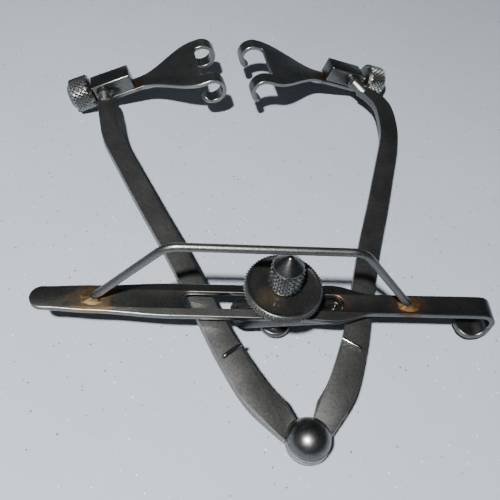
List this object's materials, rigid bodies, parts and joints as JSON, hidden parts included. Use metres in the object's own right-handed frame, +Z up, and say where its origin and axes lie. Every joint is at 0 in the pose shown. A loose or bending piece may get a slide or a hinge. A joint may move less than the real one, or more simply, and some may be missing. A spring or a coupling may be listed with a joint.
{
  "type": "self-retaining lid retractor",
  "caption": "Self-retaining surgical lid retractor: V arms on a screw pivot, swivel blades with curled fingers, slotted cross bar with hook, bridge wire and knurled clamp disc.",
  "frame": {"origin": "centre of the post's foot, on the plane the instrument rests on", "axes": "+Z up, square to the resting plane; +Y from the pivot end towards the blades; +X to the right, the hook's side"},
  "size_m": [0.071, 0.0879, 0.021],
  "materials": {
    "satin_steel": "satin, lightly aged",
    "polished_steel": "polished",
    "knurled_steel": "turned, diamond knurl on the rim",
    "heat_tinted_steel": "brazed joint with straw and brown heat tint"
  },
  "bodies": {
    "pivot": {"pivot_screw": "polished_steel", "pivot_washer": "satin_steel", "pivot_nut": "satin_steel"},
    "left_arm_body": {"left_arm": "satin_steel", "left_suture_pin": "polished_steel"},
    "right_arm_body": {"right_arm": "satin_steel", "right_suture_pin": "polished_steel"},
    "spreader": {"spreader_block": "satin_steel", "left_guide_pin": "polished_steel", "right_guide_pin": "polished_steel", "centre_post": "satin_steel", "post_collar": "satin_steel", "disc_washer": "satin_steel"},
    "bush": {"slot_bush": "satin_steel"},
    "bar": {"cross_bar": "satin_steel", "bridge_wire": "satin_steel", "left_braze_fillet": "heat_tinted_steel", "right_braze_fillet": "heat_tinted_steel"},
    "disc": {"lock_disc": "knurled_steel"},
    "knob": {"top_knob": "knurled_steel"},
    "left_blade_body": {"left_swivel_block": "satin_steel", "left_blade": "satin_steel"},
    "right_blade_body": {"right_swivel_block": "satin_steel", "right_blade": "satin_steel"},
    "left_thumbscrew_body": {"left_thumbscrew": "knurled_steel"},
    "right_thumbscrew_body": {"right_thumbscrew": "knurled_steel"}
  },
  "joints": [
    {"name": "left_arm_hinge", "type": "hinge", "parent": "pivot", "child": "left_arm_body", "pos_m": [0.0013, -0.0204, 0.005], "axis": [0, 0, 1], "range_deg": [0, 10]},
    {"name": "right_arm_hinge", "type": "hinge", "parent": "pivot", "child": "right_arm_body", "pos_m": [0.0013, -0.0204, 0.005], "axis": [0, 0, -1], "range_deg": [0, 10]},
    {"name": "spreader_slide", "type": "slide", "parent": "pivot", "child": "spreader", "axis": [0, -1, 0], "range_m": [0, 0.00751]},
    {"name": "bar_swing", "type": "hinge", "parent": "spreader", "child": "bush", "pos_m": [0, 0, 0.007], "axis": [0, 0, 1], "range_deg": [-8, 8]},
    {"name": "bar_slide", "type": "slide", "parent": "bush", "child": "bar", "axis": [0.9971, -0.0767, 0], "range_m": [-0.0078, 0.0126]},
    {"name": "disc_spin", "type": "hinge", "parent": "spreader", "child": "disc", "pos_m": [0, 0, 0.01], "axis": [0, 0, 1], "continuous": true},
    {"name": "knob_spin", "type": "hinge", "parent": "spreader", "child": "knob", "pos_m": [0, 0, 0.015], "axis": [0, 0, 1], "continuous": true},
    {"name": "left_blade_swivel", "type": "hinge", "parent": "left_arm_body", "child": "left_blade_body", "pos_m": [-0.02793, 0.05441, 0.00525], "axis": [0.1219, -0.9925, 0], "range_deg": [-25, 25]},
    {"name": "right_blade_swivel", "type": "hinge", "parent": "right_arm_body", "child": "right_blade_body", "pos_m": [0.02425, 0.05841, 0.0058], "axis": [-0.1045, 0.9945, 0], "range_deg": [-25, 25]},
    {"name": "left_thumbscrew_spin", "type": "hinge", "parent": "left_blade_body", "child": "left_thumbscrew_body", "pos_m": [-0.02793, 0.05441, 0.00525], "axis": [0.9385, 0.1152, 0.3256], "continuous": true},
    {"name": "right_thumbscrew_spin", "type": "hinge", "parent": "right_blade_body", "child": "right_thumbscrew_body", "pos_m": [0.02425, 0.05841, 0.0058], "axis": [-0.9403, -0.0988, 0.3256], "continuous": true}
  ],
  "couplings": [
    {"joint": "right_arm_hinge", "follows": "left_arm_hinge", "ratio": 1},
    {"joint": "spreader_slide", "follows": "left_arm_hinge", "m_per_rad": 0.043}
  ]
}
